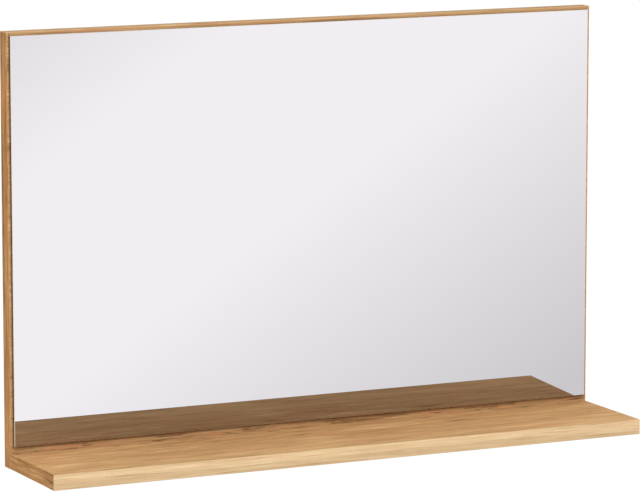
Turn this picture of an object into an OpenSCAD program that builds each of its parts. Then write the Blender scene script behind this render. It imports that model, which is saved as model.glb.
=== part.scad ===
// Wall mirror with a shelf: a mirror stuck to an oak-laminate panel, with a shelf of the same
// board joined to the foot of the panel. It hangs from two keyhole plates on the back.
//
// Frame: +X to the right of someone looking into the mirror, +Z up, and the front faces -Y.
// The wall is the plane y = 0, and the origin lies midway between the round holes of the
// two keyholes, where the heads of the wall screws go in.

/* [Panel] */
// Width of the panel and of the shelf, edging included
panel_w = 750; // [500:10:1200]
// Height of the panel, edging included
panel_h = 500; // [350:10:800]
// Thickness of the panel's board
panel_t = 18; // [16:1:25]

/* [Shelf] */
// Depth of the shelf in front of the panel, edging included
shelf_d = 132; // [80:2:250]
// Thickness of the shelf's board
shelf_t = 18; // [16:1:28]

/* [Edging] */
// Thickness of the edging strips
edging_t = 1; // [0.6:0.1:2]
// Radius that the strips' long corners are trimmed to
edging_round = 0.8; // [0.3:0.1:1.5]

/* [Mirror] */
// Thickness of the glass
glass_t = 3; // [3:1:6]
// Strip of panel left bare above the glass and at its sides
glass_reveal = 4; // [2:0.5:20]
// Gap between the shelf and the lower edge of the glass
glass_lift = 8; // [3:0.5:30]
// Width of the ground arris around the front of the glass
glass_arris = 0.5; // [0.2:0.1:1]
// Thickness of the foam tape behind the glass
tape_t = 1; // [0.8:0.1:2]
// Width of each strip of tape
tape_w = 25; // [12:1:40]
// Number of strips of tape
tape_count = 4; // [2:1:6]
// Distance from the ends of the strips to the edges of the glass
tape_margin = 20; // [10:1:60]

/* [Shelf joint] */
// Number of screws that hold the shelf, with a dowel between each two
screw_count = 4; // [3:1:6]
// Distance from the end of the shelf to the outermost screw
joint_inset = 60; // [40:5:100]
// Length of a shelf screw
screw_len = 50; // [40:5:60]
// Outer diameter of a shelf screw
screw_d = 7; // [6:0.5:8]
// Diameter of a shelf screw's head
screw_head_d = 10; // [9:0.5:12]
// Height of a shelf screw's countersunk head
screw_head_h = 3.5; // [3:0.5:5]
// Width across the flats of a shelf screw's socket
socket_w = 4; // [3:0.5:5]
// Depth of a shelf screw's socket
socket_depth = 3; // [2:0.5:4]
// Diameter of a dowel
dowel_d = 8; // [6:1:10]
// Length of a dowel
dowel_len = 30; // [25:5:40]
// Depth that a dowel goes into the panel
dowel_in_panel = 11; // [8:1:12]
// Number of flutes around a dowel
dowel_flutes = 16; // [8:2:20]

/* [Hangers] */
// Width of a hanger plate
hanger_w = 24; // [22:1:34]
// Height of a hanger plate
hanger_h = 62; // [60:1:80]
// Thickness of a hanger plate, which also sets the gap between the panel and the wall
hanger_t = 1.5; // [1:0.1:2.5]
// Radius of a hanger plate's corners
hanger_corner = 6; // [2:0.5:9]
// Distance from the side of the panel to the middle of a hanger
hanger_inset = 65; // [40:5:150]
// Distance from the top of the panel to the round hole of the keyhole
hanger_drop = 80; // [60:5:120]
// Diameter of the keyhole's round hole, which the head of the wall screw goes through
keyhole_d = 11; // [9:0.5:13]
// Width of the keyhole's slot, which takes the shank of the wall screw
slot_w = 5.5; // [4.5:0.1:6.5]
// Height from the middle of the round hole to the seat at the top of the slot
slot_rise = 12; // [9:1:15]
// Width of the pocket in the panel that the head of the wall screw moves in
pocket_w = 16; // [14:1:19]
// Depth of the pocket
pocket_depth = 10; // [6:1:12]
// Distance between a hanger's two screws
hanger_screw_span = 48; // [46:1:50]
// Diameter of a hanger screw
hanger_screw_d = 3.5; // [3:0.1:4]
// Diameter of a hanger screw's head
hanger_head_d = 7; // [6:0.1:8]
// Length of a hanger screw
hanger_screw_len = 13; // [10:1:15]

/* [Bumpers] */
// Diameter of the bumpers that keep the foot of the panel off the wall
bumper_d = 12; // [8:1:20]
// Distance from the bumpers to the side and the foot of the panel
bumper_inset = 40; // [20:5:100]

/* [Hidden] */
$fn = 64;

OAK = [0.74, 0.57, 0.39];
OAK_EDGE = [0.82, 0.66, 0.47];
MIRROR = [0.88, 0.89, 0.91];
FOAM = [0.93, 0.93, 0.91];
BEECH = [0.85, 0.72, 0.53];
ZINC = [0.76, 0.77, 0.78];
RUBBER = [0.82, 0.83, 0.84];

// Radial room around the screws and dowels in their holes
fit_clear = 0.05;
// Room past the end of a screw or a dowel
end_clear = 1;
// How far a cut runs past the face that it starts from
cut_past = 1;
// How far a hanger screw's head lies below the face of its plate
head_sink = 0.1;
// Straight rim above the cone of a screw head
head_rim = 0.4;
// Length of a shelf screw's tapered point, and its diameter at the very end
point_len = 4;
point_d = 3;
// Chamfer on the ends of a dowel, and the radius of its flutes
dowel_chamfer = 1;
flute_r = 0.35;
// Arms of the cross recess in a hanger screw: width, length and depth
cross_w = 0.9;
cross_len = 3.6;
cross_depth = 1.3;
// Radius around the face of a bumper
bumper_round = 0.6;

// The strips' corners can't be rounder than the strips are thick
edge_r = min(edging_round, edging_t - 0.1);

// Planes from the wall forwards
panel_back = -hanger_t;
panel_front = panel_back - panel_t;
shelf_front = panel_front - shelf_d;
glass_back = panel_front - tape_t;

// Levels from the foot upwards
panel_top = hanger_drop;
panel_bottom = panel_top - panel_h;
shelf_top = panel_bottom + shelf_t;
shelf_mid = panel_bottom + shelf_t / 2;
glass_bottom = shelf_top + glass_lift;
glass_top = panel_top - glass_reveal;

glass_w = panel_w - 2 * glass_reveal;
glass_h = glass_top - glass_bottom;
tape_pitch = (glass_w - 2 * tape_margin - tape_w) / (tape_count - 1);

screw_pitch = (panel_w - 2 * joint_inset) / (screw_count - 1);
screw_xs = [for (i = [0 : screw_count - 1]) joint_inset - panel_w / 2 + i * screw_pitch];
dowel_xs = [for (i = [0 : screw_count - 2]) joint_inset - panel_w / 2 + (i + 0.5) * screw_pitch];

hanger_x = panel_w / 2 - hanger_inset;
hanger_mid = slot_rise / 2;
hanger_screw_zs = [hanger_mid - hanger_screw_span / 2, hanger_mid + hanger_screw_span / 2];

// Turns a piece drawn upwards from z = 0 so that it points forwards from (x, y, z)
module forwards(x, y, z) {
    translate([x, y, z]) rotate([90, 0, 0]) children();
}

// Outline of an edging strip: its glued face on x = 0, and its two outer corners rounded
module edging_profile(board_t) {
    square([edging_t - edge_r, board_t]);
    translate([0, edge_r]) square([edging_t, board_t - 2 * edge_r]);
    intersection() {
        square([edging_t, board_t]);
        for (y = [edge_r, board_t - edge_r]) translate([edging_t - edge_r, y]) circle(edge_r);
    }
}

// A strip of the given length, running along +Z from the origin, that faces +X
module edging_strip(length, board_t) {
    linear_extrude(length) edging_profile(board_t);
}

// Shape of a shelf screw, or with room around it, of the hole for it: head at z = 0, point up
module shelf_screw_form(room, end_room, past) {
    shank_r = screw_d / 2 + room;
    head_r = screw_head_d / 2 + room;
    rotate_extrude() polygon([
        [0, -past],
        [head_r, -past],
        [head_r, head_rim],
        [shank_r, screw_head_h],
        [shank_r, screw_len - point_len + end_room],
        [point_d / 2 + room, screw_len + end_room],
        [0, screw_len + end_room]
    ]);
}

// Shape of a hanger screw, or with room around it, of the hole for it
module hanger_screw_form(room, past) {
    shank_r = hanger_screw_d / 2 + room;
    head_r = hanger_head_d / 2 + room;
    cone_end = head_rim + hanger_head_d / 2 - hanger_screw_d / 2;
    rotate_extrude() polygon([
        [0, -past],
        [head_r, -past],
        [head_r, head_rim],
        [shank_r, cone_end],
        [shank_r, hanger_screw_len - hanger_screw_d + room],
        [0, hanger_screw_len + room]
    ]);
}

module hanger_screw_holes() {
    for (side = [-1, 1], z = hanger_screw_zs) {
        forwards(side * hanger_x, -head_sink, z) hanger_screw_form(fit_clear, cut_past);
    }
}

module shelf_screw_holes() {
    for (x = screw_xs) {
        forwards(x, panel_back, shelf_mid) shelf_screw_form(fit_clear, end_clear, cut_past);
    }
}

module dowel_holes() {
    hole_len = dowel_len + 2 * end_clear;
    for (x = dowel_xs) {
        forwards(x, panel_front + dowel_in_panel + end_clear, shelf_mid)
            cylinder(h = hole_len, d = dowel_d + 2 * fit_clear);
    }
}

// A slot that runs up from z = 0, with round ends of the given width, cut forwards
module upright_slot(x, y, rise, width, depth) {
    for (z = [0, rise]) forwards(x, y, z) cylinder(h = depth, d = width);
    translate([x - width / 2, y - depth, 0]) cube([width, depth, rise]);
}

module back_panel() {
    color(OAK) difference() {
        translate([edging_t - panel_w / 2, panel_front, panel_bottom + edging_t])
            cube([panel_w - 2 * edging_t, panel_t, panel_h - 2 * edging_t]);
        for (side = [-1, 1]) {
            upright_slot(side * hanger_x, panel_back + cut_past, slot_rise, pocket_w, pocket_depth + cut_past);
        }
        hanger_screw_holes();
        shelf_screw_holes();
        dowel_holes();
    }
}

// Strip along the whole top or bottom of the panel
module panel_long_edging() {
    translate([panel_w / 2, panel_front, 0])
        rotate([0, -90, 0]) edging_strip(panel_w, panel_t);
}

module panel_edging_top() {
    color(OAK) translate([0, 0, panel_top - edging_t]) panel_long_edging();
}

module panel_edging_bottom() {
    color(OAK) translate([0, 0, panel_bottom + edging_t]) mirror([0, 0, 1]) panel_long_edging();
}

// Strip up the right side of the panel, between the top and the bottom strips
module panel_side_edging() {
    translate([panel_w / 2 - edging_t, panel_front, panel_bottom + edging_t])
        edging_strip(panel_h - 2 * edging_t, panel_t);
}

module panel_edging_left() {
    color(OAK) mirror([1, 0, 0]) panel_side_edging();
}

module panel_edging_right() {
    color(OAK) panel_side_edging();
}

// Outline of the glass in one direction: its back on y = 0, and both front corners ground off
module glass_profile(length) {
    polygon([
        [-length / 2, 0],
        [length / 2, 0],
        [length / 2, glass_arris - glass_t],
        [length / 2 - glass_arris, -glass_t],
        [glass_arris - length / 2, -glass_t],
        [-length / 2, glass_arris - glass_t]
    ]);
}

module mirror_glass() {
    color(MIRROR) translate([0, glass_back, glass_bottom + glass_h / 2]) intersection() {
        translate([0, 0, -glass_h / 2]) linear_extrude(glass_h) glass_profile(glass_w);
        rotate([0, 90, 0]) translate([0, 0, -glass_w / 2]) linear_extrude(glass_w) glass_profile(glass_h);
    }
}

module mirror_tape() {
    first_x = tape_margin - glass_w / 2;
    color(FOAM) for (i = [0 : tape_count - 1]) {
        translate([first_x + i * tape_pitch, glass_back, glass_bottom + tape_margin])
            cube([tape_w, tape_t, glass_h - 2 * tape_margin]);
    }
}

module shelf_board() {
    color(OAK) difference() {
        translate([edging_t - panel_w / 2, shelf_front + edging_t, panel_bottom])
            cube([panel_w - 2 * edging_t, shelf_d - edging_t, shelf_t]);
        shelf_screw_holes();
        dowel_holes();
    }
}

module shelf_edging_front() {
    color(OAK_EDGE) translate([-panel_w / 2, shelf_front + edging_t, panel_bottom])
        rotate([90, 0, 90]) mirror([1, 0, 0]) edging_strip(panel_w, shelf_t);
}

// Strip along the right end of the shelf, from the front strip back to the panel
module shelf_side_edging() {
    translate([panel_w / 2 - edging_t, panel_front, panel_bottom])
        rotate([90, 0, 0]) edging_strip(shelf_d - edging_t, shelf_t);
}

module shelf_edging_left() {
    color(OAK) mirror([1, 0, 0]) shelf_side_edging();
}

module shelf_edging_right() {
    color(OAK) shelf_side_edging();
}

// One dowel, standing on z = 0: fluted along its length and chamfered at both ends
module dowel() {
    r = dowel_d / 2;
    intersection() {
        linear_extrude(dowel_len) difference() {
            circle(r);
            for (i = [0 : dowel_flutes - 1]) {
                rotate(i * 360 / dowel_flutes) translate([r, 0]) circle(flute_r, $fn = 16);
            }
        }
        rotate_extrude() polygon([
            [0, 0],
            [r - dowel_chamfer, 0],
            [r, dowel_chamfer],
            [r, dowel_len - dowel_chamfer],
            [r - dowel_chamfer, dowel_len],
            [0, dowel_len]
        ]);
    }
}

module shelf_dowels() {
    color(BEECH) for (x = dowel_xs) {
        forwards(x, panel_front + dowel_in_panel, shelf_mid) dowel();
    }
}

module shelf_screws() {
    color(ZINC) for (x = screw_xs) {
        forwards(x, panel_back, shelf_mid) difference() {
            shelf_screw_form(0, 0, 0);
            translate([0, 0, -cut_past]) cylinder(h = socket_depth + cut_past, d = socket_w / cos(30), $fn = 6);
        }
    }
}

// One hanger plate, at x = 0: rounded corners, a keyhole and two countersunk holes
module hanger_plate() {
    corner_x = hanger_w / 2 - hanger_corner;
    corner_z = hanger_h / 2 - hanger_corner;
    difference() {
        translate([0, 0, hanger_mid]) rotate([90, 0, 0]) linear_extrude(hanger_t) {
            square([hanger_w, 2 * corner_z], center = true);
            square([2 * corner_x, hanger_h], center = true);
            for (x = [-corner_x, corner_x], y = [-corner_z, corner_z]) {
                translate([x, y]) circle(hanger_corner);
            }
        }
        forwards(0, cut_past, 0) cylinder(h = hanger_t + 2 * cut_past, d = keyhole_d);
        upright_slot(0, cut_past, slot_rise, slot_w, hanger_t + 2 * cut_past);
        for (z = hanger_screw_zs) {
            forwards(0, -head_sink, z) hanger_screw_form(fit_clear, cut_past);
        }
    }
}

module hanger_left() {
    color(ZINC) translate([-hanger_x, 0, 0]) hanger_plate();
}

module hanger_right() {
    color(ZINC) translate([hanger_x, 0, 0]) hanger_plate();
}

module hanger_screws() {
    color(ZINC) for (side = [-1, 1], z = hanger_screw_zs) {
        forwards(side * hanger_x, -head_sink, z) difference() {
            hanger_screw_form(0, 0);
            for (turn = [0, 90]) rotate(turn) {
                translate([-cross_len / 2, -cross_w / 2, -cut_past])
                    cube([cross_len, cross_w, cross_depth + cut_past]);
            }
        }
    }
}

// Each bumper fills the gap that the hanger plates leave between the panel and the wall
module wall_bumpers() {
    r = bumper_d / 2;
    color(RUBBER) for (side = [-1, 1]) {
        forwards(side * (panel_w / 2 - bumper_inset), 0, panel_bottom + bumper_inset)
            rotate_extrude() {
                square([r - bumper_round, hanger_t]);
                translate([0, bumper_round]) square([r, hanger_t - bumper_round]);
                translate([r - bumper_round, bumper_round]) intersection() {
                    circle(bumper_round);
                    translate([0, -bumper_round]) square(bumper_round);
                }
            }
    }
}

back_panel();
panel_edging_top();
panel_edging_bottom();
panel_edging_left();
panel_edging_right();
mirror_glass();
mirror_tape();
shelf_board();
shelf_edging_front();
shelf_edging_left();
shelf_edging_right();
shelf_dowels();
shelf_screws();
hanger_left();
hanger_right();
hanger_screws();
wall_bumpers();
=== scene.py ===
"""Finishes for the wall mirror with a shelf, and the studio that it is shown in.

Every length is in metres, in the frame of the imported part: +X to the right of someone
looking into the mirror, +Y into the wall, +Z up.
"""

import math
from dataclasses import dataclass

import bpy
from bpy.props import FloatProperty, FloatVectorProperty, PointerProperty
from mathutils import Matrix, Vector


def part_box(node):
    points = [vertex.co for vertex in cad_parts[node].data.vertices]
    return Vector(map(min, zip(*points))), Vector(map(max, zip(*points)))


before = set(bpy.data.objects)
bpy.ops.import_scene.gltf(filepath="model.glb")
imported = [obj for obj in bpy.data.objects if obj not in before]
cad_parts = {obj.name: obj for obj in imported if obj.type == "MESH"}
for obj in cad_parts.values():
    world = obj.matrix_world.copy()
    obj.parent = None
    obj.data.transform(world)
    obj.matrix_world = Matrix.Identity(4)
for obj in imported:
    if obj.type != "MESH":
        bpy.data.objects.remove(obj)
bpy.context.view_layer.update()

bl_info = {
    "name": "Wall Mirror with Shelf",
    "version": (1, 0, 0),
    "blender": (4, 5, 0),
    "location": "3D View > Sidebar > Mirror",
    "description": "Finishes a wall mirror with a shelf and sets up a studio around it",
    "category": "Object",
}

X, Y, Z = 0, 1, 2
NOISE_SPAN = (0.3, 0.7)     # nearly all of a noise lies between these


# ---------------------------------------------------------------- shader maths


class Value:
    """A socket that gives a number, a colour or a vector. Python's operators add Math nodes."""

    def __init__(self, shader, socket):
        self.shader = shader
        self.socket = socket

    def math(self, operation, *others):
        """This value, and the others after it, through one Math node."""
        settings = {"operation": operation}
        return self.shader.node("ShaderNodeMath", settings, dict(enumerate((self, *others))))

    def __add__(self, other):
        return self.math("ADD", other)

    def __sub__(self, other):
        return self.math("SUBTRACT", other)

    def __mul__(self, other):
        return self.math("MULTIPLY", other)

    def __truediv__(self, other):
        return self.math("DIVIDE", other)

    __radd__ = __add__
    __rmul__ = __mul__

    def __neg__(self):
        return self * -1

    def __rsub__(self, other):
        return -self + other

    def __abs__(self):
        return self.math("ABSOLUTE")

    def fraction(self):
        return self.math("FRACT")

    def at_least(self, other):
        return self.math("MAXIMUM", other)

    def ramp(self, start, end, low=0.0, high=1.0):
        """Goes smoothly from low to high as this value goes from start to end."""
        settings = {"interpolation_type": "SMOOTHSTEP"}
        values = {"Value": self, "From Min": start, "From Max": end, "To Min": low, "To Max": high}
        return self.shader.node("ShaderNodeMapRange", settings, values)


@dataclass(frozen=True)
class Pattern:
    """Cloudy noise: how large its patches are along X, Y and Z, how fine, rough and bent."""

    size: tuple
    detail: float = 2.0
    roughness: float = 0.5
    bend: float = 0.0
    seed: tuple = (0.0, 0.0, 0.0)


class Shader:
    """The node tree of a finish or of the studio's surroundings."""

    def __init__(self, tree, output):
        self.tree = tree
        self.tree.nodes.clear()
        self.output = self.tree.nodes.new(output)

    def node(self, kind, settings=None, values=None, output=0):
        """Adds a node. Its settings come first, then the values or links of its sockets."""
        made = self.tree.nodes.new(kind)
        for name, setting in (settings or {}).items():
            if name == "stops":
                self.set_stops(made.color_ramp, setting)
            else:
                setattr(made, name, setting)
        for name, value in (values or {}).items():
            self.feed(made.inputs[name], value)
        return Value(self, made.outputs[output])

    def feed(self, socket, value):
        """Links the socket to a Value, or sets it to a plain number or colour."""
        if isinstance(value, Value):
            self.tree.links.new(value.socket, socket)
        elif socket.type == "RGBA":
            socket.default_value = (*value[:3], 1.0)
        else:
            socket.default_value = value

    def set_stops(self, ramp, stops):
        """Stops are (position, colour) pairs."""
        while len(ramp.elements) < len(stops):
            ramp.elements.new(1.0)
        for element, (position, colour) in zip(ramp.elements, stops):
            element.position = position
            element.color = (*colour[:3], 1.0)

    def surface(self, value):
        self.feed(self.output.inputs["Surface"], value)

    def place(self):
        """The point's place on the object, which is its place in the part's frame."""
        return self.node("ShaderNodeTexCoord", output="Object")

    def facing(self):
        """The surface's direction, in the part's frame."""
        return self.node("ShaderNodeTexCoord", output="Normal")

    def split(self, vector):
        """The vector's X, Y and Z as three values."""
        first = self.node("ShaderNodeSeparateXYZ", values={0: vector})
        return [Value(self, socket) for socket in first.socket.node.outputs]

    def vector(self, operation, first, second, output="Vector"):
        """Two vectors through one Vector Math node."""
        values = {0: first, 1: second}
        return self.node("ShaderNodeVectorMath", {"operation": operation}, values, output)

    def mix(self, share, first, second):
        """First colour at share 0, second at share 1."""
        node = self.node("ShaderNodeMix", {"data_type": "RGBA"}).socket.node
        from_colour, to_colour = (socket for socket in node.inputs if socket.type == "RGBA")
        self.feed(node.inputs["Factor"], share)
        self.feed(from_colour, first)
        self.feed(to_colour, second)
        return Value(self, next(socket for socket in node.outputs if socket.type == "RGBA"))

    def shaded(self, colour, amount):
        """The colour times a value, where 1 leaves it as it is."""
        values = {0: colour, "Scale": amount}
        return self.node("ShaderNodeVectorMath", {"operation": "SCALE"}, values)

    def stretched(self, place, size, seed=(0.0, 0.0, 0.0)):
        """The place in steps of the given size along X, Y and Z, moved on by the seed."""
        settings = {"operation": "MULTIPLY_ADD"}
        steps = [1 / step for step in size]
        return self.node("ShaderNodeVectorMath", settings, {0: place, 1: steps, 2: seed})

    def noise(self, place, pattern):
        """Cloudy noise from 0 to 1."""
        values = {
            "Vector": self.stretched(place, pattern.size, pattern.seed),
            "Scale": 1.0,
            "Detail": pattern.detail,
            "Roughness": pattern.roughness,
            "Distortion": pattern.bend,
        }
        return self.node("ShaderNodeTexNoise", values=values)

    def cells(self, place, size, output="Color"):
        """A pattern of irregular cells about as wide as the given size."""
        values = {"Vector": self.stretched(place, (size,) * 3), "Scale": 1.0}
        return self.node("ShaderNodeTexVoronoi", values=values, output=output)

    def bump(self, height, depth, beneath=None):
        """A normal from a height between 0 and 1, which stands for that depth in metres."""
        values = {"Height": height, "Distance": depth, "Strength": 1.0}
        if beneath is not None:
            values["Normal"] = beneath
        return self.node("ShaderNodeBump", values=values)


def finish_shader(name, **values):
    """A material with one Principled shader, and what its sockets start with."""
    material = bpy.data.materials.new(name)
    material.use_nodes = True
    shader = Shader(material.node_tree, "ShaderNodeOutputMaterial")
    principled = shader.node("ShaderNodeBsdfPrincipled")
    shader.surface(principled)
    shader.sockets = principled.socket.node.inputs
    shader.material = material
    paint(shader, **values)
    return shader


def paint(shader, **values):
    """Sets or links the Principled shader's sockets; base_color means Base Color."""
    for name, value in values.items():
        words = [word if word.isupper() else word.capitalize() for word in name.split("_")]
        shader.feed(shader.sockets[" ".join(words)], value)


def dress(nodes, shader):
    """Gives the CAD nodes this finish."""
    for name in nodes:
        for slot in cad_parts[name].material_slots:
            slot.material = shader.material


# -------------------------------------------------------------------- settings


def colour_field(name, description, default):
    return FloatVectorProperty(
        name=name,
        description=description,
        subtype="COLOR",
        size=3,
        min=0.0,
        max=1.0,
        default=default,
    )


def length_field(name, description, default, low=0.0):
    return FloatProperty(
        name=name, description=description, unit="LENGTH", min=low, default=default
    )


def share_field(name, description, default):
    return FloatProperty(
        name=name, description=description, subtype="FACTOR", min=0.0, max=1.0, default=default
    )


def angle_field(name, description, degrees):
    return FloatProperty(
        name=name, description=description, subtype="ANGLE", default=math.radians(degrees)
    )


def amount_field(name, description, default, unit="NONE"):
    return FloatProperty(name=name, description=description, unit=unit, min=0.0, default=default)


class OakSettings(bpy.types.PropertyGroup):
    """The oak decor on the boards and their edging"""

    shelf_main: colour_field("Shelf", "Main colour of the shelf's decor", (0.415, 0.233, 0.097))
    shelf_pale: colour_field("Shelf, pale", "Palest grain of the shelf", (0.55, 0.335, 0.155))
    shelf_dark: colour_field("Shelf, dark", "Darkest grain of the shelf", (0.270, 0.136, 0.053))
    shelf_warm: colour_field("Shelf, warm", "Reddish grain of the shelf", (0.472, 0.220, 0.104))
    # The panel has the shelf's oak decor; its tones are a darker, slightly cooler copy, as painted
    # shade for the panel around and below the glass.
    panel_main: colour_field("Panel", "Main colour of the panel's decor", (0.333, 0.196, 0.088))
    panel_pale: colour_field("Panel, pale", "Palest grain of the panel", (0.441, 0.284, 0.140))
    panel_dark: colour_field("Panel, dark", "Darkest grain of the panel", (0.235, 0.124, 0.052))
    panel_warm: colour_field("Panel, warm", "Reddish grain of the panel", (0.369, 0.185, 0.090))
    edging_main: colour_field("Edging", "Main colour of the edging", (0.322, 0.162, 0.058))
    edging_pale: colour_field("Edging, pale", "Palest grain of the edging", (0.480, 0.261, 0.105))
    edging_dark: colour_field("Edging, dark", "Darkest grain of the edging", (0.13, 0.058, 0.018))
    edging_warm: colour_field("Edging, warm", "Reddish grain of the edging", (0.403, 0.185, 0.080))
    top_main: colour_field("Top strip", "Main colour of the top strip", (0.342, 0.219, 0.112))
    top_pale: colour_field("Top strip, pale", "Palest grain of the top", (0.456, 0.316, 0.175))
    top_dark: colour_field("Top strip, dark", "Darkest grain of the top", (0.20, 0.11, 0.045))
    top_warm: colour_field("Top strip, warm", "Reddish grain of the top", (0.40, 0.214, 0.110))
    front_main: colour_field("Front strip", "Main colour of the front strip", (0.405, 0.289, 0.162))
    front_pale: colour_field("Front strip, pale", "Palest grain of the front", (0.50, 0.372, 0.224))
    front_dark: colour_field(
        "Front strip, dark", "Darkest grain of the front", (0.278, 0.175, 0.085)
    )
    front_warm: colour_field(
        "Front strip, warm", "Reddish grain of the front", (0.446, 0.276, 0.156)
    )
    flush: colour_field("Flush", "Reddest grain, beside the cracks", (0.45, 0.195, 0.094))
    # Painted light: the colour that the shelf's top is mixed towards at its front, where more light
    # falls.
    painted_front_light: colour_field("Bleached", "What the shelf fades to at its front", (0.66, 0.48, 0.255))
    # Also the colour of the painted shadow along the foot of the glass and of the painted shade in
    # the corners beside it.
    crack_and_shade: colour_field("Cracks", "Colour of the decor's cracks", (0.105, 0.048, 0.018))
    chipboard: colour_field("Chipboard", "Colour of the boards' core", (0.50, 0.36, 0.21))
    streak_width: length_field("Streak width", "Width of the broad streaks", 0.009, 0.001)
    streak_length: length_field("Streak length", "Length of the broad streaks", 0.075, 0.01)
    edging_width: length_field("Edging streaks", "Width of the edging's streaks", 0.004, 0.001)
    grain_depth: length_field("Grain depth", "Depth of the embossed grain", 0.00006)
    roughness: share_field("Roughness", "Roughness of the matt decor", 0.64)


class GlassSettings(bpy.types.PropertyGroup):
    """The mirror glass and the tape that holds it"""

    silver: colour_field("Silvering", "Share of the light that it gives back", (0.42, 0.41, 0.425))
    # The ground edge's dark brown is painted: it stands in for the shaded oak that the edge
    # reflects.
    edge: colour_field("Edge", "Colour of the ground edge", (0.028, 0.016, 0.009))
    arris: colour_field("Arris", "Colour of the fine bevel along the edge", (0.53, 0.43, 0.34))
    backing: colour_field("Backing", "Colour of the paint behind the silver", (0.16, 0.15, 0.14))
    smears: share_field("Smears", "Roughness of the faint smears on the glass", 0.012)
    lean: angle_field("Lean", "How far the reflection leans forward", 2.2)
    turn: angle_field("Turn", "How far the reflection turns to the right", 1.2)
    foam: colour_field("Foam", "Colour of the mounting tape", (0.80, 0.80, 0.77))


class FittingSettings(bpy.types.PropertyGroup):
    """Everything behind the mirror and inside the joint"""

    zinc: colour_field("Zinc", "Colour of the plated steel", (0.47, 0.48, 0.50))
    tarnish: colour_field("Tarnish", "Colour of its dull patches", (0.33, 0.315, 0.29))
    beech: colour_field("Beech", "Colour of the dowels", (0.62, 0.42, 0.24))
    rubber: colour_field("Rubber", "Colour of the bumpers", (0.22, 0.225, 0.23))


class StudioSettings(bpy.types.PropertyGroup):
    """Floor, light and camera"""

    floor_level: FloatProperty(
        name="Floor level",
        description="Height of the floor in the part's frame",
        unit="LENGTH",
        default=-4.6,
    )
    floor_size: length_field("Floor size", "Side of the square floor", 8.0, 1.0)
    floor_colour: colour_field("Floor colour", "Pale floor", (0.91, 0.91, 0.905))
    ambient: amount_field("Surroundings", "Brightness all around", 1.03)
    front: amount_field("Front", "Brightness in front of the mirror", 1.40)
    glow: amount_field("Glow", "Brightness of the bands that the mirror shows", 2.09)
    key_power: amount_field("Key light", "Power of the large soft light", 103.0, "POWER")
    back_power: amount_field("Back light", "Power of the soft light behind", 8.0, "POWER")
    camera_place: FloatVectorProperty(
        name="Camera",
        description="Where the camera stands",
        subtype="TRANSLATION",
        unit="LENGTH",
        size=3,
        default=(-2.0302, -4.2868, 0.5314),
    )
    camera_turn: angle_field("Turn", "How far the camera is turned to the right", 25.623)
    camera_tilt: angle_field("Tilt", "How far the camera looks down", 8.659)
    camera_lens: amount_field("Lens", "Focal length", 229.62, "CAMERA")


# ------------------------------------------------------------------- the decor

DECOR_SPECULAR = 0.03
FACE_ON = (0.5, 0.9)    # how squarely a point faces out: from not shown to shown

# How much each pattern counts in the decor's tone.
CLOUD_SHARE = 0.14
STREAK_SHARE = 0.46
FIBRE_SHARE = 0.40

RING_COUNT = 13         # rings in one full swing of the slow noise
RING_RAGGEDNESS = 0.06
RING_PALE_AT = 0.8      # where in a ring its grain is palest
RING_MIDDLE = 0.6       # a ring's mean, which leaves the tone as it is

PORE_LENGTH = 0.007
PORE_WIDTH = 0.0005
PORE_DARKNESS = 0.4
PORE_DEPTH = 0.5        # against the height of the grain


@dataclass(frozen=True)
class Grain:
    """Which way the grain runs, how long and wide its streaks are, and how much its rings show."""

    axis: int
    length: float
    width: float
    seed: tuple
    figure: float = 0.0

    def along(self, length, width):
        """The size along X, Y and Z of a patch that is long with the grain."""
        size = [width] * 3
        size[self.axis] = length
        return tuple(size)

    def pattern(self, lengths=1.0, widths=1.0, seed=None, **more):
        """Noise whose patches are that many streaks long and wide."""
        size = self.along(self.length * lengths, self.width * widths)
        return Pattern(size, seed=seed or self.seed, **more)


@dataclass(frozen=True)
class Tones:
    """The colours of a decor's palest, main, darkest and reddish grain."""

    pale: tuple
    main: tuple
    dark: tuple
    warm: tuple

    def stops(self):
        """From the darkest tone to the palest, with a wide main one between them."""
        return [(0.41, self.dark), (0.48, self.main), (0.52, self.main), (0.59, self.pale)]


def tones_of(oak, piece):
    """The tones that the settings hold for the shelf, panel, edging, top or front."""
    return Tones(*(getattr(oak, f"{piece}_{tone}") for tone in ("pale", "main", "dark", "warm")))


def growth_rings(shader, place, grain, ragged):
    """Dark at each ring's start and paler to its end, in long arches along the grain."""
    sway = shader.noise(place, grain.pattern(3.5, 6, roughness=0.4))
    rings = (sway + ragged * RING_RAGGEDNESS) * RING_COUNT
    return rings.fraction().ramp(0.0, RING_PALE_AT)


def oak_tone(shader, place, grain):
    """How pale the decor is at each point, about 0.5 on the whole."""
    clouds = shader.noise(place, grain.pattern(2, 3))
    streaks = shader.noise(place, grain.pattern(detail=4, roughness=0.7, bend=0.4))
    fibres = shader.noise(place, grain.pattern(0.4, 0.25, detail=4, roughness=0.7, bend=0.3))
    tone = clouds * CLOUD_SHARE + streaks * STREAK_SHARE + fibres * FIBRE_SHARE
    if grain.figure:
        rings = growth_rings(shader, place, grain, fibres)
        tone = tone + grain.figure * (rings - RING_MIDDLE)
    return tone


def oak_pores(shader, place, grain):
    """1 in the short dark pores, 0 between them."""
    size = grain.along(PORE_LENGTH, PORE_WIDTH)
    return shader.noise(place, Pattern(size, detail=1, seed=grain.seed)).ramp(0.64, 0.73)


def oak_decor(shader, grain, tones):
    """The printed decor's colour, and its relief as a height."""
    place = shader.place()
    tone = oak_tone(shader, place, grain)
    streaky = shader.node("ShaderNodeValToRGB", {"stops": tones.stops()}, {"Fac": tone})
    blushes = grain.pattern(0.6, 0.7, detail=3, bend=0.6, seed=(7.0, 3.0, 5.0))
    blush = shader.noise(place, blushes).ramp(0.53, 0.65, 0.0, 0.7)
    coloured = shader.mix(blush, streaky, tones.warm)
    pores = oak_pores(shader, place, grain)
    return shader.mix(pores * PORE_DARKNESS, coloured, tones.dark), tone - pores * PORE_DEPTH
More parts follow.
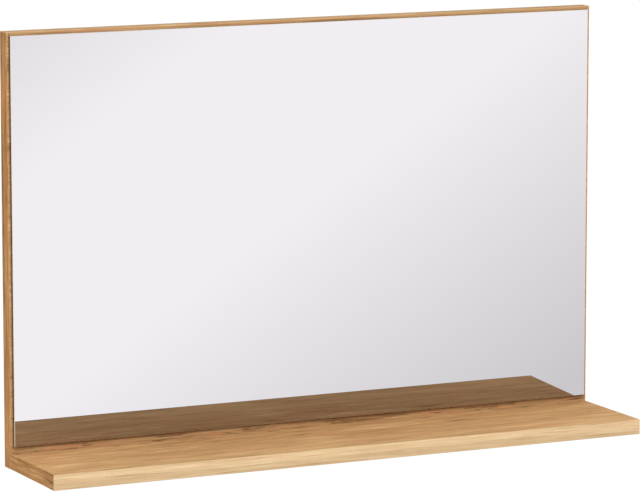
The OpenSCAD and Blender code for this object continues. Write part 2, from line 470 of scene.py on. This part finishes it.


# ------------------------------------- what the boards show beside the glass, painted shade and light among it

# All of these count from the foot of the glass: down the panel and on along the shelf.
BEHIND_GLASS = (-0.0008, -0.0002)   # from hidden to shown
FOOT_SHADOW = (0.0022, 0.0052)        # painted shadow right below the glass, from full to gone
FOOT_SHADOW_DARKNESS = 0.37
STRAYS = (0.008, 0.036)
STRAY_DARKNESS = 0.8
FLUSH = (0.004, 0.040)
FLUSH_STRENGTH = 0.58
FLUSH_BESIDE_GLASS = (-0.012, 0.0, 0.15, 1.0)   # from where to where, from how much to how much
# Painted light: the decor grows paler far from the foot of the glass, on the shelf towards its
# front.
PAINTED_FRONT_LIGHT = (0.065, 0.120)
PAINTED_FRONT_LIGHT_STRENGTH = 0.12

# The wedges' own numbers.
LEAST_REACH = 0.0006
RAGGED_REACH = 0.008
WEDGE_EDGE = (-0.0006, 0.0008)
RIM_WIDTH = (0.0002, 0.0009)
RIM_DARKNESS = 0.8
RIM_FROM_REACH = (0.001, 0.003)
SLANT = 0.01

SLANT_PATTERN = Pattern((0.06, 0.03, 0.03), detail=1, seed=(1.0, 1.0, 5.0))
REACH_PATTERN = Pattern((0.040, 0.012, 0.0014), roughness=0.6, bend=0.3, seed=(6.0, 1.0, 8.0))
FIBRE_PATTERN = Pattern((0.022, 0.006, 0.0009), detail=3, roughness=0.7, seed=(4.0, 4.0, 2.0))
STRAY_PATTERN = Pattern((0.050, 0.007, 0.0022), roughness=0.6, bend=0.6, seed=(3.0, 3.0, 1.0))
FLUSH_PATTERN = Pattern((0.035, 0.009, 0.003), detail=3, roughness=0.6, seed=(8.0, 2.0, 6.0))
CORNER_SHADE_PATTERN = Pattern((0.004, 0.004, 0.03), detail=3, roughness=0.6, seed=(2.0, 9.0, 4.0))

CORNER_SHADE = (0.0004, 0.0016)      # painted shade, away from the side of the glass, from full to gone
CORNER_SHADE_DARKNESS = 0.55
CORNER_SHADE_FADE = 0.001                 # how far below the glass the corner's painted shade fades out

PAPER = (0.0002, 0.0004)            # from the decor paper to the chipboard below it
CHIP_SIZE = 0.0022
CHIP_DEPTH = 0.0003
CHIP_GRIT = Pattern((0.0006,) * 3, detail=3, roughness=0.6)


@dataclass(frozen=True)
class Crack:
    """A wedge that opens below the glass: where it starts, is deepest and ends along X."""

    start: float
    deepest: float
    end: float
    depth: float

    def opening(self, along):
        """How far down this wedge reaches at each point along the glass."""
        opened = along.ramp(self.start, self.deepest, 0.0, self.depth)
        return opened * along.ramp(self.deepest, self.end, 1.0, 0.0)


CRACKS = (
    Crack(-0.225, -0.175, -0.140, 0.0055),
    Crack(-0.125, -0.065, -0.035, 0.0042),
    Crack(-0.020, 0.050, 0.200, 0.0085),
    Crack(0.185, 0.230, 0.330, 0.0062),
)


@dataclass(frozen=True)
class Board:
    """A board whose face is shown.

    through is the axis through the board, and side is 1 or -1, the way its shown face looks.
    away is the axis that leads away from the glass, against its own direction, and the distance
    from the foot of the glass is counted from start on it.
    """

    node: str
    through: int
    side: int
    away: int
    start: float
    holds_glass: bool = False


def crack_reach(along):
    """How far down the wedges reach at each point along the glass."""
    reach, *others = (crack_and_shade.opening(along) for crack_and_shade in CRACKS)
    for other in others:
        reach = reach.at_least(other)
    return reach.at_least(LEAST_REACH)


def cracks_and_foot_shadow(shader, place, distance):
    """A painted shadow along the foot of the glass and the decor's dark, feathered cracks in it,
    from 0 to 1.
    """
    below = distance.ramp(*BEHIND_GLASS)
    # Painted shadow: a soft dark band right below the glass.
    line = distance.ramp(*FOOT_SHADOW, FOOT_SHADOW_DARKNESS, 0.0)
    slant = shader.noise(place, SLANT_PATTERN) * SLANT
    leaning = shader.vector("ADD", place, slant)
    ragged = (shader.noise(leaning, REACH_PATTERN) - 0.5) * RAGGED_REACH
    reach = crack_reach(shader.split(place)[X]) + ragged
    fibres = shader.noise(leaning, FIBRE_PATTERN)
    wedge = (reach - distance).ramp(*WEDGE_EDGE) * fibres.ramp(0.38, 0.62, 0.2, 0.75)
    rim = abs(reach - distance).ramp(*RIM_WIDTH, RIM_DARKNESS, 0.0) * fibres.ramp(0.40, 0.55)
    rim = rim * reach.ramp(*RIM_FROM_REACH)
    strays = shader.noise(leaning, STRAY_PATTERN).ramp(0.57, 0.65)
    strays = strays * distance.ramp(*STRAYS, STRAY_DARKNESS, 0.0)
    return below * line.at_least(wedge).at_least(rim).at_least(strays)


def painted_corner_shade(shader, place):
    """Painted shade: a dark line in the corner between the panel and the upright sides of the
    glass.
    """
    at = shader.split(place)
    low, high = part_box("mirror_glass")
    line = abs(abs(at[X]) - high[X]).ramp(*CORNER_SHADE, CORNER_SHADE_DARKNESS, 0.0)
    patchy = shader.noise(place, CORNER_SHADE_PATTERN).ramp(0.3, 0.6, 0.7, 1.0)
    return line * patchy * at[Z].ramp(low[Z] - CORNER_SHADE_FADE, low[Z])


def chips(shader, place, colour):
    """Chipboard: pressed chips of all shades, and how far each one stands out."""
    shade = shader.split(shader.cells(place, CHIP_SIZE))[X]
    fine = shader.noise(place, CHIP_GRIT)
    lightness = shade.ramp(0.0, 1.0, 0.55, 1.25) * fine.ramp(*NOISE_SPAN, 0.8, 1.2)
    return shader.shaded(colour, lightness), shade * 0.6 + fine * 0.4


def board_core(board, at):
    """1 inside the board, where a bore or a pocket cuts it open, and 0 on its decor paper."""
    low, high = (corner[board.through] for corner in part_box(board.node))
    inward = (high - low) / 2 - abs(at[board.through] - (high + low) / 2)
    return inward.ramp(*PAPER)


def board_finish(board, oak, tones, grain):
    """Decor on a board's two faces; on the shown one its cracks, painted shadow and painted light;
    chipboard where it is cut.
    """
    shader = finish_shader("oak_" + board.node, specular_IOR_Level=DECOR_SPECULAR)
    place = shader.place()
    at = shader.split(place)
    shown = (shader.split(shader.facing())[board.through] * board.side).ramp(*FACE_ON)
    distance = board.start - at[board.away]
    papered, relief = oak_decor(shader, grain, tones)
    # Painted light, paler towards the shelf's front.
    front_lit = distance.ramp(*PAINTED_FRONT_LIGHT, 0.0, PAINTED_FRONT_LIGHT_STRENGTH) * shown
    papered = shader.mix(front_lit, papered, oak.painted_front_light)
    beside = distance.ramp(*FLUSH, FLUSH_STRENGTH, 0.0) * distance.ramp(*FLUSH_BESIDE_GLASS)
    flushed = shader.noise(place, FLUSH_PATTERN).ramp(0.48, 0.64) * beside * shown
    papered = shader.mix(flushed, papered, oak.flush)
    # The decor's cracks, with a painted shadow along the foot of the glass.
    cracks_and_shadow = cracks_and_foot_shadow(shader, place, distance) * shown
    papered = shader.mix(cracks_and_shadow, papered, oak.crack_and_shade)
    if board.holds_glass:
        # Painted shade in the corner beside the upright sides of the glass.
        papered = shader.mix(painted_corner_shade(shader, place) * shown, papered, oak.crack_and_shade)
    core = board_core(board, at)
    chipped, roughened = chips(shader, place, oak.chipboard)
    beneath = shader.bump(roughened * core, CHIP_DEPTH)
    paint(
        shader,
        base_color=shader.mix(core, papered, chipped),
        roughness=decor_roughness(oak, relief) + 0.3 * core,
        normal=shader.bump(relief - cracks_and_shadow, oak.grain_depth, beneath),
    )
    return shader


def decor_roughness(oak, relief):
    """The matt decor, a little smoother in its grain's hollows."""
    return oak.roughness + 0.25 * (relief - 0.5)


def edging_finish(name, oak, tones, grain, shade=None):
    """Decor on an edging strip. shade takes the place's X, Y and Z and says how pale it is."""
    shader = finish_shader(name, specular_IOR_Level=DECOR_SPECULAR)
    decor, relief = oak_decor(shader, grain, tones)
    if shade:
        decor = shader.shaded(decor, shade(shader.split(shader.place())))
    paint(
        shader,
        base_color=decor,
        roughness=decor_roughness(oak, relief),
        normal=shader.bump(relief, oak.grain_depth),
    )
    return shader


def front_shade(at):
    """Palest in the upper half of the strip along the shelf's front."""
    low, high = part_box("shelf_edging_front")
    middle = (low[Z] + high[Z]) / 2
    blur = 0.003
    return at[Z].ramp(middle - blur, middle + blur, 0.94, 1.07)


# ---------------------------------------------------------- glass and fittings

SQUARE_ON = (0.85, 0.95)    # how squarely a point faces forward or back: from edge to face
ARRIS_FACING = (0.4, 0.6)   # from the ground edge to the bevel in front of it
ARRIS_METAL = 0.7           # how much of its light the bevel gives back as metal does
SMEAR_PATTERN = Pattern((0.12, 0.12, 0.05), detail=3, roughness=0.6, bend=1.5)
SMEAR_SHADE = 0.006         # how much a smear darkens the reflection
GROUND_PATTERN = Pattern((0.004,) * 3, detail=3, roughness=0.6)

FOAM_CELL = 0.0005
FOAM_BUBBLE = (0.0, 0.6)    # from the middle of a bubble to its rim
FOAM_DEPTH = 0.0001
FOAM_PATCHES = Pattern((0.05,) * 3, detail=3)

BEECH_FIBRES = Pattern((0.0006, 0.012, 0.0006), detail=4, roughness=0.6, bend=0.4)
BEECH_RAYS = Pattern((0.0004, 0.0025, 0.0004), detail=1, seed=(4.0, 1.0, 2.0))
BEECH_DEPTH = 0.00012

SPANGLE_SIZE = 0.0035
ZINC_ROUGHNESS = 0.27       # before its patches, marks and spangle change it
ZINC_TARNISH_SHARE = 0.45   # how much of the tarnish's colour a dull patch has
ZINC_TARNISH = Pattern((0.009,) * 3, detail=4, roughness=0.6, bend=0.8)
ZINC_MARK_DEPTH = 0.00002
TURNED_MARKS = Pattern((0.01, 0.0002, 0.01), detail=3, roughness=0.6)
BRUSHED_MARKS = Pattern((0.0003, 0.0003, 0.02), detail=3, roughness=0.6)

RUBBER_GRIT = Pattern((0.0004,) * 3)
RUBBER_GRIT_DEPTH = 0.00005
RUBBER_ROUGHNESS = 0.42     # where no dust lies
RUBBER_DUST = Pattern((0.004,) * 3, detail=4, roughness=0.65)


def glass_finish(settings):
    """A silvered front, painted back and ground edge with its pale arris. The edge's dark brown is
    a painted reflection of the shaded oak beside it.
    """
    shader = finish_shader("silvered_glass")
    place = shader.place()
    facing = shader.split(shader.facing())[Y]
    front = (-facing).ramp(*SQUARE_ON)
    back = facing.ramp(*SQUARE_ON)
    arris = (-facing).ramp(*ARRIS_FACING)
    smears = shader.noise(place, SMEAR_PATTERN).ramp(0.45, 0.8)
    ground = shader.noise(place, GROUND_PATTERN)
    # The edge's dark brown is a painted reflection of the shaded oak beside the glass.
    rear = shader.mix(back, shader.mix(arris, settings.edge, settings.arris), settings.backing)
    rear = shader.shaded(rear, ground.ramp(*NOISE_SPAN, 0.85, 1.15))
    silver = shader.shaded(settings.silver, smears * -SMEAR_SHADE + 1)
    matt = ground.ramp(*NOISE_SPAN, 0.25, 0.4)
    paint(
        shader,
        base_color=shader.mix(front, rear, silver),
        metallic=front.at_least(arris * ARRIS_METAL),
        roughness=matt * (1 - front) + front * smears * settings.smears,
        normal=leaning_normal(shader, front, settings.lean, settings.turn),
    )
    return shader


def front_direction(lean, turn):
    """The direction that a reflecting front faces, leaning forward and turned to the right."""
    level = math.cos(lean)
    return Vector((math.sin(turn) * level, -math.cos(turn) * level, -math.sin(lean)))


def leaning_normal(shader, front, lean, turn):
    """The surface's normal, leaned and turned on the front only."""
    offset = front_direction(lean, turn) - front_direction(0.0, 0.0)
    normal = shader.node("ShaderNodeNewGeometry", output="Normal")
    return shader.vector("ADD", normal, shader.shaded(offset, front))


def foam_finish(settings):
    """White closed-cell foam."""
    shader = finish_shader("foam_tape")
    place = shader.place()
    bubbles = shader.cells(place, FOAM_CELL, output="Distance")
    yellowed = shader.noise(place, FOAM_PATCHES).ramp(*NOISE_SPAN, 0.94, 1.02)
    paint(
        shader,
        base_color=shader.shaded(settings.foam, yellowed * bubbles.ramp(*FOAM_BUBBLE, 1.0, 0.85)),
        roughness=bubbles.ramp(*FOAM_BUBBLE, 0.85, 0.7),
        normal=shader.bump(bubbles, FOAM_DEPTH),
    )
    return shader


def beech_finish(settings):
    """Beech with its grain and short rays along the dowel."""
    shader = finish_shader("beech", specular_IOR_Level=0.3)
    place = shader.place()
    fibres = shader.noise(place, BEECH_FIBRES)
    rays = shader.noise(place, BEECH_RAYS).ramp(0.62, 0.7)
    tone = fibres.ramp(*NOISE_SPAN, 0.82, 1.14) * (1 - rays * 0.35)
    paint(
        shader,
        base_color=shader.shaded(settings.beech, tone),
        roughness=fibres.ramp(*NOISE_SPAN, 0.7, 0.55),
        normal=shader.bump(fibres - rays * 0.4, BEECH_DEPTH),
    )
    return shader


def zinc_finish(name, settings, brushing):
    """Zinc plating with spangle, dull patches and fine marks."""
    shader = finish_shader(name, metallic=1.0)
    place = shader.place()
    spangle = shader.split(shader.cells(place, SPANGLE_SIZE))[X]
    dull = shader.noise(place, ZINC_TARNISH).ramp(0.48, 0.66)
    marks = shader.noise(place, brushing)
    bright = spangle.ramp(0.0, 1.0, 0.93, 1.04) * marks.ramp(*NOISE_SPAN, 0.94, 1.05)
    plated = shader.shaded(settings.zinc, bright)
    paint(
        shader,
        base_color=shader.mix(dull * ZINC_TARNISH_SHARE, plated, settings.tarnish),
        roughness=ZINC_ROUGHNESS + 0.14 * dull + 0.12 * (marks - 0.5) + 0.05 * spangle,
        normal=shader.bump(marks, ZINC_MARK_DEPTH),
    )
    return shader


def rubber_finish(settings):
    """Soft grey rubber with a fine texture and a little dust."""
    shader = finish_shader("bumper_rubber", specular_IOR_Level=0.4)
    place = shader.place()
    grit = shader.noise(place, RUBBER_GRIT)
    dust = shader.noise(place, RUBBER_DUST).ramp(0.45, 0.75)
    paint(
        shader,
        base_color=shader.shaded(settings.rubber, grit.ramp(*NOISE_SPAN, 0.92, 1.08) + dust * 0.18),
        roughness=RUBBER_ROUGHNESS + 0.3 * dust,
        normal=shader.bump(grit, RUBBER_GRIT_DEPTH),
    )
    return shader


# ------------------------------------------------------------------ the studio

FLOOR_CLOUDS = Pattern((0.6,) * 3, detail=4)
FLOOR_SPAN = (0.2, 0.8)     # from the darkest and smoothest cloud to the palest and roughest

# The mirror shows bright bands that lie ahead of it, side by side along this direction, which
# runs from the upper left to the lower right of what the camera sees. Where they lie and how
# wide they are is told by the dot product of this direction and the one looked in.
BAND_AXIS = Vector((0.4937, -0.3697, -0.7869))
BAND_SPACING = 0.36
BAND_MIDDLE = -0.0333       # the middle of one of the bands
BAND_FLAT = 0.0222          # how far from its middle a band is at its brightest
BAND_FALL = 4.5             # how steeply its brightness falls beyond that
AHEAD = (0.0, 0.3)          # from beside the mirror to in front of it
OVERHEAD = (0.15, 0.35)     # from the height of the bands to above them


@dataclass(frozen=True)
class SoftLight:
    """A rectangular light that faces the mirror, and the setting that holds its power."""

    name: str
    place: tuple
    width: float
    height: float
    setting: str


LIGHTS = (
    SoftLight("key_light", (-0.4, -2.8, 2.2), 2.4, 1.8, "key_power"),
    SoftLight("back_light", (1.3, 2.6, 1.6), 1.6, 1.6, "back_power"),
)


def lay_floor(scene, studio):
    """A pale square floor, far enough down that it hides nothing from below."""
    half = studio.floor_size / 2
    sides = (-half, -half), (half, -half), (half, half), (-half, half)
    mesh = bpy.data.meshes.new("floor")
    mesh.from_pydata([(x, y, studio.floor_level) for x, y in sides], [], [(0, 1, 2, 3)])
    floor = bpy.data.objects.new("floor", mesh)
    scene.collection.objects.link(floor)
    shader = finish_shader("pale_floor")
    clouds = shader.noise(shader.place(), FLOOR_CLOUDS)
    paint(
        shader,
        base_color=shader.shaded(studio.floor_colour, clouds.ramp(*FLOOR_SPAN, 0.97, 1.03)),
        roughness=clouds.ramp(*FLOOR_SPAN, 0.55, 0.7),
    )
    mesh.materials.append(shader.material)


def band_brightness(shader, direction, glass):
    """Bright bands side by side, 1 in the middle of each, where the leaning mirror sees them."""
    reflected = BAND_AXIS.reflect(front_direction(glass.lean, glass.turn))
    across = shader.vector("DOT_PRODUCT", direction, reflected, "Value")
    turns = (across - BAND_MIDDLE) / BAND_SPACING
    off_middle = abs((turns + 0.5).fraction() - 0.5) * BAND_SPACING
    return 1 - BAND_FALL * (off_middle - BAND_FLAT).at_least(0.0)


def light_surroundings(scene, studio, glass):
    """Pale all around, brighter in front, with soft bright bands that the mirror shows."""
    scene.world = bpy.data.worlds.new("studio")
    scene.world.use_nodes = True
    shader = Shader(scene.world.node_tree, "ShaderNodeOutputWorld")
    direction = shader.node("ShaderNodeTexCoord", output="Generated")
    at = shader.split(direction)
    ahead = (-at[Y]).ramp(*AHEAD) * at[Z].ramp(*OVERHEAD, 1.0, 0.0)
    plain = studio.ambient + ahead * (studio.front - studio.ambient)
    bands = band_brightness(shader, direction, glass) * ahead * studio.glow
    values = {"Color": (1, 1, 1), "Strength": plain.at_least(bands)}
    shader.surface(shader.node("ShaderNodeBackground", values=values))


def hang_light(scene, soft, power):
    """A soft light that lights the part and shows neither to the camera nor in the mirror."""
    data = bpy.data.lights.new(soft.name, "AREA")
    data.shape = "RECTANGLE"
    data.size, data.size_y = soft.width, soft.height
    data.energy = power
    light = bpy.data.objects.new(soft.name, data)
    light.location = soft.place
    light.rotation_euler = (-light.location).to_track_quat("-Z", "Y").to_euler()
    light.visible_camera = light.visible_glossy = False
    scene.collection.objects.link(light)


def set_camera(scene, studio):
    data = bpy.data.cameras.new("camera")
    data.lens = studio.camera_lens
    data.clip_start, data.clip_end = 0.1, 100.0
    camera = bpy.data.objects.new("camera", data)
    camera.location = studio.camera_place
    camera.rotation_euler = (math.pi / 2 - studio.camera_tilt, 0.0, -studio.camera_turn)
    scene.collection.objects.link(camera)
    scene.camera = camera


# ------------------------------------------------------------------- operators


class MIRROR_OT_boards(bpy.types.Operator):
    """Finishes the back panel and the shelf board"""

    bl_idname = "mirror.boards"
    bl_label = "Boards"

    def execute(self, context):
        oak = context.scene.mirror_oak
        glass_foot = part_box("mirror_glass")[0][Z]
        reveal = glass_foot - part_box("shelf_board")[1][Z]
        panel_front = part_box("back_panel")[0][Y]
        panel = Board("back_panel", through=Y, side=-1, away=Z, start=glass_foot, holds_glass=True)
        shelf = Board("shelf_board", through=Z, side=1, away=Y, start=panel_front + reveal)
        long_grain = Grain(X, oak.streak_length * 3, oak.streak_width, (0.0, 3.0, 0.0), 0.05)
        short_grain = Grain(X, oak.streak_length * 1.4, oak.streak_width, (0.0, 6.0, 0.0), 0.02)
        # The panel's own tones are painted shade: a darker copy of the shelf's decor.
        dress([panel.node], board_finish(panel, oak, tones_of(oak, "panel"), long_grain))
        dress([shelf.node], board_finish(shelf, oak, tones_of(oak, "shelf"), short_grain))
        return {"FINISHED"}


class MIRROR_OT_edging(bpy.types.Operator):
    """Finishes the edging strips around the panel and the shelf"""

    bl_idname = "mirror.edging"
    bl_label = "Edging"

    def execute(self, context):
        oak = context.scene.mirror_oak
        size = oak.streak_length, oak.edging_width
        fine = oak.streak_length * 1.6, oak.edging_width * 0.42
        level = Grain(X, *size, (2.3, 0.7, 1.1))
        upright = Grain(Z, *size, (0.4, 5.2, 3.1))
        deep = Grain(Y, *size, (3.6, 1.9, 0.8))
        front = Grain(X, *fine, (5.1, 2.2, 4.3))
        edging, top, pale = (tones_of(oak, piece) for piece in ("edging", "top", "front"))
        strips = (
            ("oak_edging_top", top, level, ["panel_edging_top"]),
            ("oak_edging_level", edging, level, ["panel_edging_bottom"]),
            ("oak_edging_upright", edging, upright, ["panel_edging_left", "panel_edging_right"]),
            ("oak_edging_deep", edging, deep, ["shelf_edging_left", "shelf_edging_right"]),
        )
        for name, tones, grain, nodes in strips:
            dress(nodes, edging_finish(name, oak, tones, grain))
        strip = edging_finish("oak_front_strip", oak, pale, front, front_shade)
        dress(["shelf_edging_front"], strip)
        return {"FINISHED"}


class MIRROR_OT_glass(bpy.types.Operator):
    """Silvers the glass, paints its back and grinds its edge"""

    bl_idname = "mirror.glass"
    bl_label = "Glass"

    def execute(self, context):
        dress(["mirror_glass"], glass_finish(context.scene.mirror_glass))
        return {"FINISHED"}


class MIRROR_OT_tape(bpy.types.Operator):
    """Finishes the mounting tape behind the glass"""

    bl_idname = "mirror.tape"
    bl_label = "Tape"

    def execute(self, context):
        dress(["mirror_tape"], foam_finish(context.scene.mirror_glass))
        return {"FINISHED"}


class MIRROR_OT_dowels(bpy.types.Operator):
    """Finishes the dowels between the panel and the shelf"""

    bl_idname = "mirror.dowels"
    bl_label = "Dowels"

    def execute(self, context):
        dress(["shelf_dowels"], beech_finish(context.scene.mirror_fittings))
        return {"FINISHED"}


class MIRROR_OT_screws(bpy.types.Operator):
    """Finishes the screws of the shelf and of the hangers"""

    bl_idname = "mirror.screws"
    bl_label = "Screws"

    def execute(self, context):
        turned = zinc_finish("zinc_screws", context.scene.mirror_fittings, TURNED_MARKS)
        dress(["shelf_screws", "hanger_screws"], turned)
        return {"FINISHED"}


class MIRROR_OT_hangers(bpy.types.Operator):
    """Finishes the two keyhole plates"""

    bl_idname = "mirror.hangers"
    bl_label = "Hangers"

    def execute(self, context):
        brushed = zinc_finish("zinc_plates", context.scene.mirror_fittings, BRUSHED_MARKS)
        dress(["hanger_left", "hanger_right"], brushed)
        return {"FINISHED"}


class MIRROR_OT_bumpers(bpy.types.Operator):
    """Finishes the two bumpers at the foot of the panel"""

    bl_idname = "mirror.bumpers"
    bl_label = "Bumpers"

    def execute(self, context):
        dress(["wall_bumpers"], rubber_finish(context.scene.mirror_fittings))
        return {"FINISHED"}


class MIRROR_OT_studio(bpy.types.Operator):
    """Sets up the floor, the light and the camera"""

    bl_idname = "mirror.studio"
    bl_label = "Studio"

    def execute(self, context):
        scene = context.scene
        studio = scene.mirror_studio
        lay_floor(scene, studio)
        light_surroundings(scene, studio, scene.mirror_glass)
        for soft in LIGHTS:
            hang_light(scene, soft, getattr(studio, soft.setting))
        set_camera(scene, studio)
        scene.view_settings.view_transform = "Standard"
        return {"FINISHED"}


SETTINGS = {
    "mirror_oak": OakSettings,
    "mirror_glass": GlassSettings,
    "mirror_fittings": FittingSettings,
    "mirror_studio": StudioSettings,
}
OPERATORS = (
    MIRROR_OT_boards,
    MIRROR_OT_edging,
    MIRROR_OT_glass,
    MIRROR_OT_tape,
    MIRROR_OT_dowels,
    MIRROR_OT_screws,
    MIRROR_OT_hangers,
    MIRROR_OT_bumpers,
    MIRROR_OT_studio,
)


class MIRROR_PT_sidebar(bpy.types.Panel):
    """The mirror's pieces and settings"""

    bl_label = "Wall Mirror with Shelf"
    bl_idname = "MIRROR_PT_sidebar"
    bl_space_type = "VIEW_3D"
    bl_region_type = "UI"
    bl_category = "Mirror"

    def draw(self, context):
        for operator in OPERATORS:
            self.layout.operator(operator.bl_idname)
        for name, group in SETTINGS.items():
            box = self.layout.box()
            for field in group.__annotations__:
                box.prop(getattr(context.scene, name), field)


CLASSES = (*SETTINGS.values(), *OPERATORS, MIRROR_PT_sidebar)


def register():
    for cls in CLASSES:
        bpy.utils.register_class(cls)
    for name, group in SETTINGS.items():
        setattr(bpy.types.Scene, name, PointerProperty(type=group))


def unregister():
    for name in SETTINGS:
        delattr(bpy.types.Scene, name)
    for cls in reversed(CLASSES):
        bpy.utils.unregister_class(cls)


def main():
    register()
    for operator in OPERATORS:
        group, name = operator.bl_idname.split(".")
        getattr(getattr(bpy.ops, group), name)()
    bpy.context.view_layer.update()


if __name__ == "__main__":
    main()
